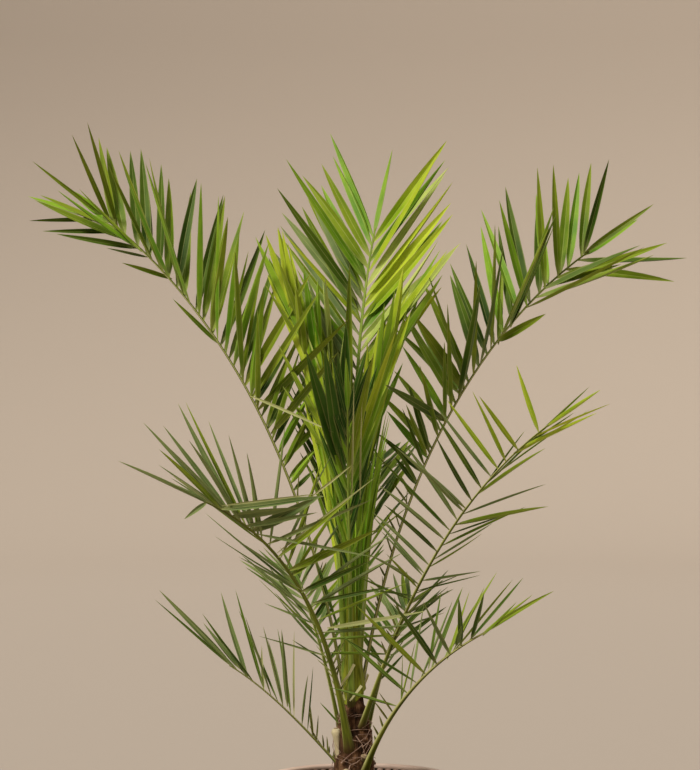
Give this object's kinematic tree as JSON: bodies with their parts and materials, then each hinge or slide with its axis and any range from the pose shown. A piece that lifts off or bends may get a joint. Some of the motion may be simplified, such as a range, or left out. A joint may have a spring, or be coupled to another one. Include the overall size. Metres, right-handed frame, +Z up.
{
  "type": "potted palm",
  "caption": "Young potted feather palm with a short swollen trunk, an open crown of arching pinnate fronds and an upright spear in a round tapered planter.",
  "frame": {"origin": "middle of the pot's flat underside, on the ground", "axes": "+Z up, along the trunk; the widest fronds spread to -X and +X, and the side that the crown shows best faces -Y"},
  "size_m": [1.0195, 0.6614, 1.2405],
  "materials": {
    "pot_cane": "pinkish tan ribbed planter, matte, with a pale smooth rim",
    "potting_soil": "dark crumbly potting mix",
    "trunk_fibre": "brown fibrous trunk with cut leaf bases",
    "leaf_green": "mature leaflets, mid to dark green with a soft sheen",
    "leaf_young": "young leaflets, bright yellow-green with a soft sheen"
  },
  "bodies": {
    "root": {"pot": "pot_cane", "soil": "potting_soil", "trunk": "trunk_fibre", "frond_upper_left": "leaf_green", "frond_upper_right": "leaf_green", "frond_middle_left": "leaf_green", "frond_middle_right": "leaf_green", "frond_lower_left": "leaf_green", "frond_lower_right": "leaf_green", "frond_front": "leaf_green", "frond_back_left": "leaf_green", "frond_back_right": "leaf_green", "frond_low_back_left": "leaf_green", "frond_low_back_right": "leaf_green", "frond_centre": "leaf_young", "frond_young_left": "leaf_young", "frond_young_right": "leaf_young", "spear_leaf": "leaf_young"}
  },
  "joints": []
}
